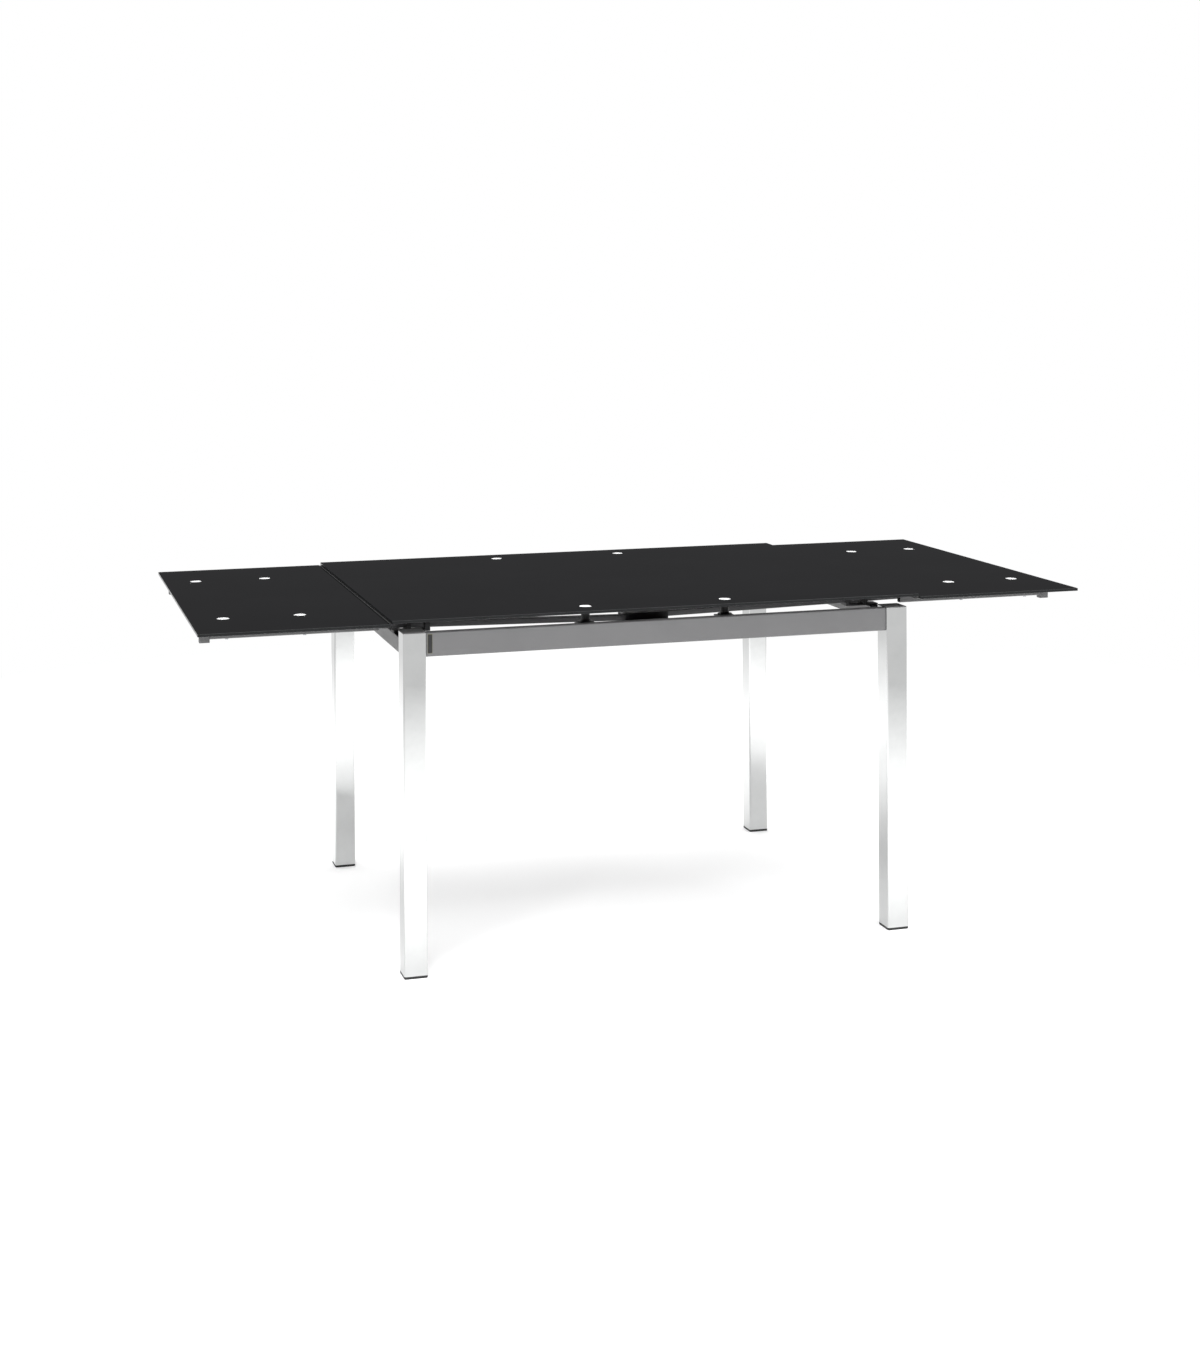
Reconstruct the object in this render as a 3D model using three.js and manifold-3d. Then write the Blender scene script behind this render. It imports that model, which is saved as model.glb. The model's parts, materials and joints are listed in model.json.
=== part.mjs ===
// Extendable dining table: a glass centre top over a chrome-legged frame, with a glass leaf drawn out
// at each end. A leaf rides on two sloping runners and slides inwards under the centre top.
// Millimetres. +X runs along the table, +Y across it and +Z up. The origin is on the floor under the
// middle of the table.
import * as THREE from 'three';
import { mergeVertices } from 'three/addons/utils/BufferGeometryUtils.js';
import Module from 'manifold-3d';

// ---- Tops
const tableHeight = 750;             // floor to the upper face of the centre top
const tableWidth = 900;
const centreLength = 1200;
const leafLength = 397;
const seamGap = 3;                   // between the centre top and a drawn leaf
const centreGlassThickness = 6;
const leafGlassThickness = 6;
const glassCornerRadius = 3;
const stowedProud = 8;               // how far a stowed leaf stands out past the end of the centre top

// ---- Clearances
const restGap = 0.3;                 // between pieces that rest on or are fastened to each other
const slideGap = 0.4;                // between pieces that slide past each other
const travelSlope = 0.02;            // fall of a leaf for each millimetre that it moves inwards
const guideSideGap = 0.5;            // beside a runner in its guide
const lugSideGap = 1;                // beside a runner between the lugs that hold it
const laneGap = 1;                   // between the guides of neighbouring runners

// ---- Discs and the pins of the centre top
const discRadius = 13;
const discThickness = 3;
const stemRadius = 6;                // the part of a disc that passes through the glass
const leafDiscEndInset = 72.5;       // from a leaf's outer edge to its outer discs
const leafDiscSpacing = 163.5;       // between a leaf's outer and inner discs
const leafDiscSideInset = 179;       // from the long edges of the table
const centreDiscSideInset = 66;
const pinToStowedLeaf = 50;          // from a centre disc to the inner edge of a stowed leaf
const postRadius = 9.5;              // carries the centre top on its sleeve
const pinRadius = 5;
const pinCollarRadius = 7;
const pinCollarHeight = 4;
const liftTravel = 12;               // how far the centre top can rise

// ---- Legs
const legSize = 50;
const legWall = 1.5;
const legCornerRadius = 4;
const legEndInset = 25;              // from the end of the centre top to a leg
const legSideInset = 10;             // from the long edge of the table to a leg
const legCapThickness = 1;
const legCapClearance = 8.5;         // under a stowed leaf
const footHeight = 5;
const plugDepth = 18;                // how far caps and feet reach into the leg tube

// ---- Aprons
const apronThickness = 25;
const apronHeight = 50;
const apronWall = 1.5;
const apronCornerRadius = 2.25;
const apronFaceInset = 4;            // behind the outer faces of the legs
const apronBelowLegTop = 0.7;

// ---- Leaf carriage
const padThickness = 1.5;            // soft washers between glass and crossbar
const crossbarWidth = 40;
const crossbarThickness = 4;
const railWidth = 15;
const railHeight = 19;
const railWall = 1.5;
const railCornerRadius = 2.25;
const railToLeg = 49;                // from the legs' inner faces to the rails
const railInnerInset = 3;            // from a leaf's inner edge to the end of its rails
const railAboveApron = 2;            // room between a stowed rail and the end apron
const blockDrop = 7;                 // how far an end block hangs below its rail
const blockInset = 15;               // from a leaf's outer edge to its end blocks
const blockPlugLength = 12;

// ---- Runners and guides
const runnerWidth = 20;
const runnerHeight = 12;
const runnerPastCentre = 35;         // reach of a drawn runner beyond mid-length
const guideWall = 4;
const guideToRail = 2;
const endGuideLength = 80;
const endGuideBase = 4;              // thickness of the plate under its two cradles
const cradleLength = 12;
const cradleEndInset = 26;           // from the outer end of an end guide to its outer cradle
const endGuideBelowRunnerTop = 1;
const centreGuideLength = 100;
const centreGuideFloor = 5;
const armThickness = 5;
const armTabHeight = 24;
const armTabThickness = 4;

// ---- Sleeves and their brackets
const sleeveFlangeRadius = 16;
const sleeveFlangeThickness = 4;
const sleeveFlangeBelowApronTop = 1;
const sleeveRadius = 8;
const sleeveLength = 14;             // flange included
const plateIntoFlange = 0.5;         // weld of a sleeve's flange to its bracket
const bracketHalfWidth = 20;
const bracketThickness = 4;
const bracketTabHeight = 28;

// ---- Fineness of round shapes
const turnedSides = 24;
const cornerSides = 3;
const weldDistance = 1e-4;           // points nearer than this are one

// ---- Overlaps for joining and cutting solids
const joinOverlap = 1;
const cutOverrun = 10;

// ---- Positions that follow from the sizes
const halfWidth = tableWidth / 2;
const halfCentre = centreLength / 2;
const halfLength = halfCentre + seamGap + leafLength;
const leafTravel = leafLength + seamGap - stowedProud;
const leafDrop = leafTravel * travelSlope;
const centreUnderside = tableHeight - centreGlassThickness;
const leafTop = centreUnderside - slideGap;
const leafUnderside = leafTop - leafGlassThickness;
const crossbarTop = leafUnderside - padThickness;
const crossbarUnderside = crossbarTop - crossbarThickness;
const railTop = crossbarUnderside - restGap;
const railBottom = railTop - railHeight;

const legTop = leafUnderside - leafDrop - legCapClearance - legCapThickness - restGap;
const legX = halfCentre - legEndInset - legSize / 2;
const legY = halfWidth - legSideInset - legSize / 2;
const legInnerX = legX - legSize / 2;
const legInnerY = legY - legSize / 2;
const apronTop = legTop - apronBelowLegTop;
const apronBottom = apronTop - apronHeight;
const apronY = legY + legSize / 2 - apronFaceInset - apronThickness / 2;
const apronInnerY = apronY - apronThickness / 2;
const endApronOuterX = legX + legSize / 2 - apronFaceInset;
const endApronTop = railBottom - leafDrop - railAboveApron;

const railY = legInnerY - railToLeg - railWidth / 2;
const outerLaneY = railY - railWidth / 2 - guideToRail - guideWall - guideSideGap - runnerWidth / 2;
const lanePitch = runnerWidth + guideSideGap * 2 + guideWall + laneGap;
const innerLaneY = outerLaneY - lanePitch;
const outerDiscX = halfLength - leafDiscEndInset;
const innerDiscX = outerDiscX - leafDiscSpacing;
const runnerOuterX = outerDiscX + crossbarWidth / 2;
const blockInnerX = endApronOuterX + leafTravel + restGap;
const centreDiscX = halfCentre + seamGap - leafTravel - pinToStowedLeaf;
const centreDiscY = halfWidth - centreDiscSideInset;
const leafDiscY = halfWidth - leafDiscSideInset;
const sleeveTop = apronTop - sleeveFlangeBelowApronTop;
const sleeveBottom = sleeveTop - sleeveLength;

const runnerTopAt = (x) => railTop - travelSlope * (runnerOuterX - x);
const runnerBottomAt = (x) => runnerTopAt(x) - runnerHeight;

// ---- Materials
const colours = {
  glass: { color: 0x0b0b0c, roughness: 0.06, metalness: 0.0 },
  chrome: { color: 0xd8d9db, roughness: 0.08, metalness: 1.0 },
  paint: { color: 0x7f8082, roughness: 0.5, metalness: 0.0 },
  steel: { color: 0x6a6b6d, roughness: 0.4, metalness: 0.8 },
  plastic: { color: 0x151516, roughness: 0.6, metalness: 0.0 },
  nylon: { color: 0x2a2a2c, roughness: 0.7, metalness: 0.0 },
};

const table = new THREE.Group();
const wasm = await Module();
wasm.setup();

// ---- Shapes and solids
function addPart(name, geometry, finish, x = 0, y = 0, z = 0) {
  const mesh = new THREE.Mesh(geometry, new THREE.MeshStandardMaterial(colours[finish]));
  mesh.name = name;
  mesh.position.set(x, y, z);
  table.add(mesh);
}

function toSolid(geometry) {
  const bare = geometry.clone();
  bare.deleteAttribute('normal');
  bare.deleteAttribute('uv');
  const merged = mergeVertices(bare, weldDistance);
  const mesh = new wasm.Mesh({
    numProp: 3,
    vertProperties: new Float32Array(merged.attributes.position.array),
    triVerts: new Uint32Array(merged.index.array),
  });
  return new wasm.Manifold(mesh);
}

function toGeometry(solid) {
  const mesh = solid.getMesh();
  const geometry = new THREE.BufferGeometry();
  geometry.setAttribute('position', new THREE.BufferAttribute(mesh.vertProperties, 3));
  geometry.setIndex(new THREE.BufferAttribute(mesh.triVerts, 1));
  geometry.computeVertexNormals();
  return geometry;
}

// A box between two corners.
function block(low, high) {
  const geometry = new THREE.BoxGeometry(high[0] - low[0], high[1] - low[1], high[2] - low[2]);
  return geometry.translate((low[0] + high[0]) / 2, (low[1] + high[1]) / 2, (low[2] + high[2]) / 2);
}

function roundedRectangle(width, depth, radius, Kind = THREE.Shape) {
  const outline = new Kind();
  const x = width / 2;
  const y = depth / 2;
  outline.moveTo(-x + radius, -y);
  outline.lineTo(x - radius, -y);
  outline.absarc(x - radius, -y + radius, radius, -Math.PI / 2, 0, false);
  outline.lineTo(x, y - radius);
  outline.absarc(x - radius, y - radius, radius, 0, Math.PI / 2, false);
  outline.lineTo(-x + radius, y);
  outline.absarc(-x + radius, y - radius, radius, Math.PI / 2, Math.PI, false);
  outline.lineTo(-x, -y + radius);
  outline.absarc(-x + radius, -y + radius, radius, Math.PI, Math.PI * 1.5, false);
  return outline;
}

function extrudeUp(shape, height) {
  return new THREE.ExtrudeGeometry(shape, { depth: height, bevelEnabled: false, curveSegments: cornerSides });
}

// A rectangular tube that runs along X, centred on its own middle.
function tubeAlongX(length, width, height, wall, cornerRadius) {
  const section = roundedRectangle(width, height, cornerRadius);
  const bore = roundedRectangle(width - wall * 2, height - wall * 2, cornerRadius - wall, THREE.Path);
  section.holes.push(bore);
  const geometry = extrudeUp(section, length);
  return geometry.translate(0, 0, -length / 2).rotateX(Math.PI / 2).rotateZ(Math.PI / 2);
}

// An outline drawn in X and Z, given a width along Y and centred at y.
function slabAcross(points, y, width) {
  const shape = new THREE.Shape(points.map(([px, pz]) => new THREE.Vector2(px, pz)));
  return extrudeUp(shape, width).rotateX(Math.PI / 2).translate(0, y + width / 2, 0);
}

// A turned piece from its radius and height pairs, first and last on the axis.
function turned(profile) {
  const geometry = new THREE.LatheGeometry(profile.map(([r, z]) => new THREE.Vector2(r, z)), turnedSides);
  return geometry.rotateX(Math.PI / 2);
}

// The sloping bar of a runner on one side, grown by a gap, between two distances from mid-length.
function runnerBar(side, laneY, fromX, toX, sideGap = 0, lowGap = 0, highGap = 0) {
  const points = [
    [side * fromX, runnerBottomAt(fromX) - lowGap],
    [side * toX, runnerBottomAt(toX) - lowGap],
    [side * toX, runnerTopAt(toX) + highGap],
    [side * fromX, runnerTopAt(fromX) + highGap],
  ];
  return slabAcross(points, laneY, runnerWidth + sideGap * 2);
}

// ---- Glass
function glassPanel(length, thickness, discs) {
  let solid = toSolid(extrudeUp(roundedRectangle(length, tableWidth, glassCornerRadius), thickness));
  const stemHole = stemRadius + restGap;
  const discSeat = discRadius + restGap;
  const seatHeight = thickness - discThickness - restGap;
  const hole = turned([
    [0, -joinOverlap],
    [stemHole, -joinOverlap],
    [stemHole, seatHeight],
    [discSeat, seatHeight],
    [discSeat, thickness + joinOverlap],
    [0, thickness + joinOverlap],
  ]);
  for (const [x, y] of discs) {
    solid = solid.subtract(toSolid(hole.clone().translate(x, y, 0)));
  }
  return toGeometry(solid);
}

const rows = [['front', -1], ['rear', 1]];
const ends = [['left', -1], ['right', 1]];

// The places of a disc at the front and one at the rear.
const discPair = (x, y) => rows.map(([, across]) => [x, across * y]);

const centreDiscs = ends.flatMap(([, side]) => discPair(side * centreDiscX, centreDiscY));
const centrePanel = glassPanel(centreLength, centreGlassThickness, centreDiscs);
addPart('centre_glass', centrePanel, 'glass', 0, 0, centreUnderside);

for (const [end, side] of ends) {
  const middle = halfCentre + seamGap + leafLength / 2;
  const discs = [outerDiscX, innerDiscX].flatMap((x) => discPair(side * (x - middle), leafDiscY));
  const panel = glassPanel(leafLength, leafGlassThickness, discs);
  addPart(`${end}_leaf_glass`, panel, 'glass', side * middle, 0, leafUnderside);
}

// ---- Discs and centre pins
const leafDiscProfile = [
  [0, crossbarTop + restGap],
  [stemRadius, crossbarTop + restGap],
  [stemRadius, leafTop - discThickness],
  [discRadius, leafTop - discThickness],
  [discRadius, leafTop],
  [0, leafTop],
];

// A disc with the post that carries the glass, the pin that is guided by the sleeve and a collar that
// stops the top from being lifted out.
const collarTop = sleeveBottom - liftTravel - restGap;
const centrePinProfile = [
  [0, collarTop - pinCollarHeight],
  [pinCollarRadius, collarTop - pinCollarHeight],
  [pinCollarRadius, collarTop],
  [pinRadius, collarTop],
  [pinRadius, sleeveTop + restGap],
  [postRadius, sleeveTop + restGap],
  [postRadius, centreUnderside - restGap],
  [stemRadius, centreUnderside - restGap],
  [stemRadius, tableHeight - discThickness],
  [discRadius, tableHeight - discThickness],
  [discRadius, tableHeight],
  [0, tableHeight],
];

const sleeveProfile = [
  [0, sleeveBottom],
  [sleeveRadius, sleeveBottom],
  [sleeveRadius, sleeveTop - sleeveFlangeThickness],
  [sleeveFlangeRadius, sleeveTop - sleeveFlangeThickness],
  [sleeveFlangeRadius, sleeveTop],
  [0, sleeveTop],
];

const sleeveBoreProfile = [
  [0, sleeveBottom - joinOverlap],
  [pinRadius + restGap, sleeveBottom - joinOverlap],
  [pinRadius + restGap, sleeveTop + joinOverlap],
  [0, sleeveTop + joinOverlap],
];

// An angle bracket beside the long apron with a flanged sleeve welded into it. across is -1 at the
// front and 1 at the rear.
function sleeveBracket(across) {
  const plateTop = sleeveTop - sleeveFlangeThickness + plateIntoFlange;
  const plateBottom = plateTop - bracketThickness;
  const wallY = apronInnerY - restGap;
  const tipY = centreDiscY - sleeveFlangeRadius;
  const corner = [bracketHalfWidth, wallY, plateTop];
  const plate = toSolid(block([-bracketHalfWidth, tipY, plateBottom], corner));
  const tabLow = [-bracketHalfWidth, wallY - bracketThickness, plateTop - bracketTabHeight];
  const tab = toSolid(block(tabLow, corner));
  const sleeve = toSolid(turned(sleeveProfile).translate(0, centreDiscY, 0));
  const bore = toSolid(turned(sleeveBoreProfile).translate(0, centreDiscY, 0));
  const geometry = toGeometry(plate.add(tab).add(sleeve).subtract(bore));
  return across > 0 ? geometry : geometry.rotateZ(Math.PI);
}

for (const [end, side] of ends) {
  for (const [row, across] of rows) {
    const place = `${row}_${end}`;
    const pinX = side * centreDiscX;
    const discY = across * leafDiscY;
    addPart(`${place}_centre_pin`, turned(centrePinProfile), 'chrome', pinX, across * centreDiscY);
    addPart(`${place}_sleeve_bracket`, sleeveBracket(across), 'steel', pinX);
    addPart(`${place}_outer_disc`, turned(leafDiscProfile), 'chrome', side * outerDiscX, discY);
    addPart(`${place}_inner_disc`, turned(leafDiscProfile), 'chrome', side * innerDiscX, discY);
  }
}

// ---- Legs, feet and caps
const boreSize = legSize - legWall * 2;
const plugSize = boreSize - restGap * 2;

function legTube() {
  const section = roundedRectangle(legSize, legSize, legCornerRadius);
  section.holes.push(roundedRectangle(boreSize, boreSize, legCornerRadius - legWall, THREE.Path));
  return extrudeUp(section, legTop - footHeight - restGap).translate(0, 0, footHeight + restGap);
}

// A square plate with a plug that reaches into the leg tube. direction is 1 for a foot, whose plug
// points up, and -1 for a cap.
function cappedPlug(plateThickness, direction) {
  const plate = extrudeUp(roundedRectangle(legSize, legSize, legCornerRadius), plateThickness);
  const plugHeight = plugDepth + restGap;
  const overlap = plateThickness / 2;
  const plugOutline = roundedRectangle(plugSize, plugSize, legCornerRadius - legWall);
  const plug = extrudeUp(plugOutline, plugHeight + overlap);
  const plugStart = direction > 0 ? plateThickness - overlap : -plugHeight;
  return toGeometry(toSolid(plate).add(toSolid(plug.translate(0, 0, plugStart))));
}

for (const [end, side] of ends) {
  for (const [row, across] of rows) {
    const place = `${row}_${end}`;
    const x = side * legX;
    const y = across * legY;
    addPart(`${place}_leg`, legTube(), 'chrome', x, y);
    addPart(`${place}_foot`, cappedPlug(footHeight, 1), 'plastic', x, y);
    addPart(`${place}_leg_cap`, cappedPlug(legCapThickness, -1), 'paint', x, y, legTop + restGap);
  }
}

// ---- Aprons
const longApronLength = (legInnerX - restGap) * 2;
const longApron = tubeAlongX(longApronLength, apronThickness, apronHeight, apronWall, apronCornerRadius);
for (const [row, across] of rows) {
  addPart(`${row}_apron`, longApron.clone(), 'paint', 0, across * apronY, (apronTop + apronBottom) / 2);
}

const endApronLength = (legInnerY - restGap) * 2;
const endApronHeight = endApronTop - apronBottom;
const endApron = tubeAlongX(endApronLength, apronThickness, endApronHeight, apronWall, apronCornerRadius);
endApron.rotateZ(Math.PI / 2);
for (const [end, side] of ends) {
  const x = side * (endApronOuterX - apronThickness / 2);
  addPart(`${end}_apron`, endApron.clone(), 'paint', x, 0, (endApronTop + apronBottom) / 2);
}

// ---- Leaf carriages
// The two leaves' runners lie in different lanes, so that they pass each other.
const laneOf = (side, across) => (side === -across ? innerLaneY : outerLaneY) * across;

function crossbar(side, x, hasLugs) {
  const reach = railY + railWidth / 2;
  const low = [side * x - crossbarWidth / 2, -reach, crossbarUnderside];
  const high = [side * x + crossbarWidth / 2, reach, crossbarTop];
  let solid = toSolid(block(low, high));
  if (hasLugs) {
    for (const [, across] of rows) {
      const laneY = laneOf(side, across);
      const lugLow = [low[0], laneY - runnerWidth / 2, runnerBottomAt(x)];
      const lugHigh = [high[0], laneY + runnerWidth / 2, crossbarTop - joinOverlap];
      const lug = toSolid(block(lugLow, lugHigh));
      const roomEnds = [x - crossbarWidth, x + crossbarWidth];
      const room = runnerBar(side, laneY, ...roomEnds, lugSideGap, runnerHeight, restGap);
      solid = solid.add(lug.subtract(toSolid(room)));
    }
  }
  return toGeometry(solid);
}

const railLength = blockInnerX - restGap - (halfCentre + seamGap + railInnerInset);
const rail = tubeAlongX(railLength, railWidth, railHeight, railWall, railCornerRadius);

// An end block closes a rail, hangs below it and stops the leaf against the end apron.
function endBlock(side) {
  const halfRail = railWidth / 2;
  const outerX = halfLength - blockInset;
  const body = toSolid(block([blockInnerX, -halfRail, railBottom - blockDrop], [outerX, halfRail, railTop]));
  const grip = railWall + restGap;
  const plugLow = [blockInnerX - blockPlugLength, -halfRail + grip, railBottom + grip];
  const plug = toSolid(block(plugLow, [blockInnerX + joinOverlap, halfRail - grip, railTop - grip]));
  const geometry = toGeometry(body.add(plug));
  return side > 0 ? geometry : geometry.rotateZ(Math.PI);
}

// A plate on the end apron with two open-topped cradles, which carry a runner and let the crossbars
// pass over.
function endGuide(side, laneY) {
  const halfGuide = runnerWidth / 2 + guideSideGap + guideWall;
  const innerX = endApronOuterX - endGuideLength;
  const bottom = endApronTop + restGap;
  const span = (fromX, toX, top) => {
    const xs = [side * fromX, side * toX].sort((a, b) => a - b);
    return toSolid(block([xs[0], laneY - halfGuide, bottom], [xs[1], laneY + halfGuide, top]));
  };
  const cradleTop = runnerTopAt(innerX) - endGuideBelowRunnerTop;
  const outerCradleX = endApronOuterX - cradleEndInset;
  const base = span(innerX, endApronOuterX, bottom + endGuideBase);
  const innerCradle = span(innerX, innerX + cradleLength, cradleTop);
  const outerCradle = span(outerCradleX - cradleLength, outerCradleX, cradleTop);
  const roomEnds = [innerX - cutOverrun, endApronOuterX + cutOverrun];
  const room = runnerBar(side, laneY, ...roomEnds, guideSideGap, restGap, runnerHeight);
  return toGeometry(base.add(innerCradle).add(outerCradle).subtract(toSolid(room)));
}

for (const [end, side] of ends) {
  addPart(`${end}_outer_crossbar`, crossbar(side, outerDiscX, false), 'paint');
  addPart(`${end}_inner_crossbar`, crossbar(side, innerDiscX, true), 'paint');
  for (const [row, across] of rows) {
    const place = `${row}_${end}`;
    const laneY = laneOf(side, across);
    const railX = side * (blockInnerX - restGap - railLength / 2);
    addPart(`${place}_rail`, rail.clone(), 'paint', railX, across * railY, (railTop + railBottom) / 2);
    addPart(`${place}_end_block`, endBlock(side), 'paint', 0, across * railY);
    addPart(`${place}_runner`, runnerBar(side, laneY, -runnerPastCentre, runnerOuterX), 'steel');
    addPart(`${place}_end_guide`, endGuide(side, laneY), 'nylon');
  }
}

// ---- Centre guides
// A closed guide beside the long apron, with a channel for the inner end of each leaf's runner. It
// holds those ends down when a leaf is loaded.
function centreGuide(across) {
  const halfGuide = centreGuideLength / 2;
  const sideRoom = runnerWidth / 2 + guideSideGap + guideWall;
  const bottom = runnerBottomAt(-halfGuide) - centreGuideFloor;
  const top = runnerTopAt(halfGuide) + slideGap + guideWall;
  const yInner = innerLaneY - sideRoom;
  const yOuter = outerLaneY + sideRoom;
  const wallY = apronInnerY - restGap;
  const span = (low, high) => {
    const ys = [across * low[1], across * high[1]].sort((a, b) => a - b);
    return toSolid(block([low[0], ys[0], low[2]], [high[0], ys[1], high[2]]));
  };
  let solid = span([-halfGuide, yInner, bottom], [halfGuide, yOuter, top]);
  const roomEnds = [-halfGuide - cutOverrun, halfGuide + cutOverrun];
  for (const [, side] of ends) {
    const room = runnerBar(side, laneOf(side, across), ...roomEnds, guideSideGap, slideGap, slideGap);
    solid = solid.subtract(toSolid(room));
  }
  const armTop = bottom + armThickness;
  const arm = span([-halfGuide, yOuter - guideWall / 2, bottom], [halfGuide, wallY, armTop]);
  const tab = span([-halfGuide, wallY - armTabThickness, armTop - armTabHeight], [halfGuide, wallY, armTop]);
  return toGeometry(solid.add(arm).add(tab));
}

for (const [row, across] of rows) {
  addPart(`${row}_centre_guide`, centreGuide(across), 'nylon');
}

export default table;
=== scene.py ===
"""Extendable dining table with a black glass top, laid out as a Blender add-on.

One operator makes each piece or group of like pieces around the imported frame, and one makes the
stage. Everything is in metres, in the frame's own place.
"""
import json
import math

import bmesh
import bpy
from mathutils import Matrix, Vector

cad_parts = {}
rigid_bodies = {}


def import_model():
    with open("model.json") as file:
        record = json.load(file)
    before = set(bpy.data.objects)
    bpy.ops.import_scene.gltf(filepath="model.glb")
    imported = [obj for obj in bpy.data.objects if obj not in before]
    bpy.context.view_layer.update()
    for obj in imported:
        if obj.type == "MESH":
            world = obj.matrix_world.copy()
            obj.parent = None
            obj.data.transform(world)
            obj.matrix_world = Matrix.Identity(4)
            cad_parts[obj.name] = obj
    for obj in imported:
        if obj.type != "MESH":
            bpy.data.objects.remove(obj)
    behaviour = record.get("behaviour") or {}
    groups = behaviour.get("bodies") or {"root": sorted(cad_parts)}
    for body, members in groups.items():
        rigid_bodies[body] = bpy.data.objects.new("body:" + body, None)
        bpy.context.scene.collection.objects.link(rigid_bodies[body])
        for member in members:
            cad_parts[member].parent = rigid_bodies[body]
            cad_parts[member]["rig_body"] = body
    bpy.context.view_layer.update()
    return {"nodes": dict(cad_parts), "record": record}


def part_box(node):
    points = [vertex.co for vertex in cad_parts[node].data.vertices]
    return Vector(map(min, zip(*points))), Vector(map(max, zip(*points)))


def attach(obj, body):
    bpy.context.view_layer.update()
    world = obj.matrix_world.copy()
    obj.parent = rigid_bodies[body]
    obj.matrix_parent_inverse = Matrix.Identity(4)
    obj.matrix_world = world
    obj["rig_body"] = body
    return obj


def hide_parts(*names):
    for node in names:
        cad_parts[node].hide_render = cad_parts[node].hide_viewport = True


bl_info = {
    "name": "Extendable dining table",
    "version": (1, 0, 0),
    "blender": (4, 5, 0),
    "location": "View3D > Sidebar > Table",
    "description": "Builds a glass-topped extendable dining table around its frame",
    "category": "Object",
}

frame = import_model()

MM = 0.001
ENDS = (("left", -1), ("right", 1))
ROWS = (("front", -1), ("rear", 1))
CORNERS = [(f"{row}_{end}", side, across) for end, side in ENDS for row, across in ROWS]
SMOOTH_ANGLE = math.radians(40)


# ---- Sizes and colours

class TableSizes(bpy.types.PropertyGroup):
    """Small sizes that the frame doesn't give."""
    glass_arris: bpy.props.FloatProperty(
        name="Glass arris", description="Ground edge of each glass panel",
        default=0.9 * MM, min=0.1 * MM, max=2 * MM, unit="LENGTH", precision=4)
    metal_edge: bpy.props.FloatProperty(
        name="Metal edge", description="Rounding on the edges of bars, tubes and brackets",
        default=0.6 * MM, min=0.1 * MM, max=1.4 * MM, unit="LENGTH", precision=4)
    leg_corner: bpy.props.FloatProperty(
        name="Leg corner", description="Corner radius of the square legs",
        default=4 * MM, min=1 * MM, max=8 * MM, unit="LENGTH", precision=4)
    leg_wall: bpy.props.FloatProperty(
        name="Leg wall", description="Wall of the leg tubes",
        default=1.5 * MM, min=0.8 * MM, max=4 * MM, unit="LENGTH", precision=4)
    disc_rim: bpy.props.FloatProperty(
        name="Disc rim", description="Rounding at the rim of each disc",
        default=0.6 * MM, min=0.1 * MM, max=1.5 * MM, unit="LENGTH", precision=4)
    washer_radius: bpy.props.FloatProperty(
        name="Washer radius", description="Soft washers between a glass panel and what carries it",
        default=17 * MM, min=14 * MM, max=19 * MM, unit="LENGTH", precision=4)
    bolt_radius: bpy.props.FloatProperty(
        name="Bolt head radius", description="Socket head bolts of the corner plates",
        default=6.5 * MM, min=3 * MM, max=8 * MM, unit="LENGTH", precision=4)


class TableColours(bpy.types.PropertyGroup):
    """The colours of the finishes."""
    glass: bpy.props.FloatVectorProperty(
        name="Glass", description="Back-painted glass", subtype="COLOR", default=(0.0022, 0.0022, 0.0024))
    glass_edge: bpy.props.FloatVectorProperty(
        name="Glass edge", description="Ground edge of the glass", subtype="COLOR",
        default=(0.006, 0.0065, 0.007))
    chrome: bpy.props.FloatVectorProperty(
        name="Chrome", description="Plating on the legs", subtype="COLOR", default=(0.55, 0.556, 0.554))
    disc: bpy.props.FloatVectorProperty(
        name="Disc", description="Satin metal of the discs", subtype="COLOR", default=(0.97, 0.97, 0.97))
    paint: bpy.props.FloatVectorProperty(
        name="Grey paint", description="Aprons, rails and crossbars", subtype="COLOR",
        default=(0.122, 0.122, 0.124))
    dark_paint: bpy.props.FloatVectorProperty(
        name="Dark paint", description="Runners and brackets", subtype="COLOR", default=(0.045, 0.045, 0.047))
    plastic: bpy.props.FloatVectorProperty(
        name="Plastic", description="Feet, caps, blocks and guides", subtype="COLOR",
        default=(0.007, 0.007, 0.0075))
    zinc: bpy.props.FloatVectorProperty(
        name="Zinc", description="Bolts and corner plates", subtype="COLOR", default=(0.55, 0.56, 0.58))


def sizes():
    return bpy.context.scene.table_sizes


def colours():
    return bpy.context.scene.table_colours


# ---- Shader groups

def new_group(name, inputs, outputs):
    """An empty shader group with its sockets, and its input and output nodes."""
    group = bpy.data.node_groups.new(name, "ShaderNodeTree")
    for label, kind, default in inputs:
        socket = group.interface.new_socket(label, in_out="INPUT", socket_type=kind)
        socket.default_value = default
    for label, kind in outputs:
        group.interface.new_socket(label, in_out="OUTPUT", socket_type=kind)
    return group, group.nodes.new("NodeGroupInput"), group.nodes.new("NodeGroupOutput")


def add_noise(tree, coords, scale_socket, detail, roughness=0.5):
    noise = tree.nodes.new("ShaderNodeTexNoise")
    noise.inputs["Detail"].default_value = detail
    noise.inputs["Roughness"].default_value = roughness
    tree.links.new(coords, noise.inputs["Vector"])
    tree.links.new(scale_socket, noise.inputs["Scale"])
    return noise.outputs["Fac"]


def object_coordinates(tree):
    return tree.nodes.new("ShaderNodeTexCoord").outputs["Object"]


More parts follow.
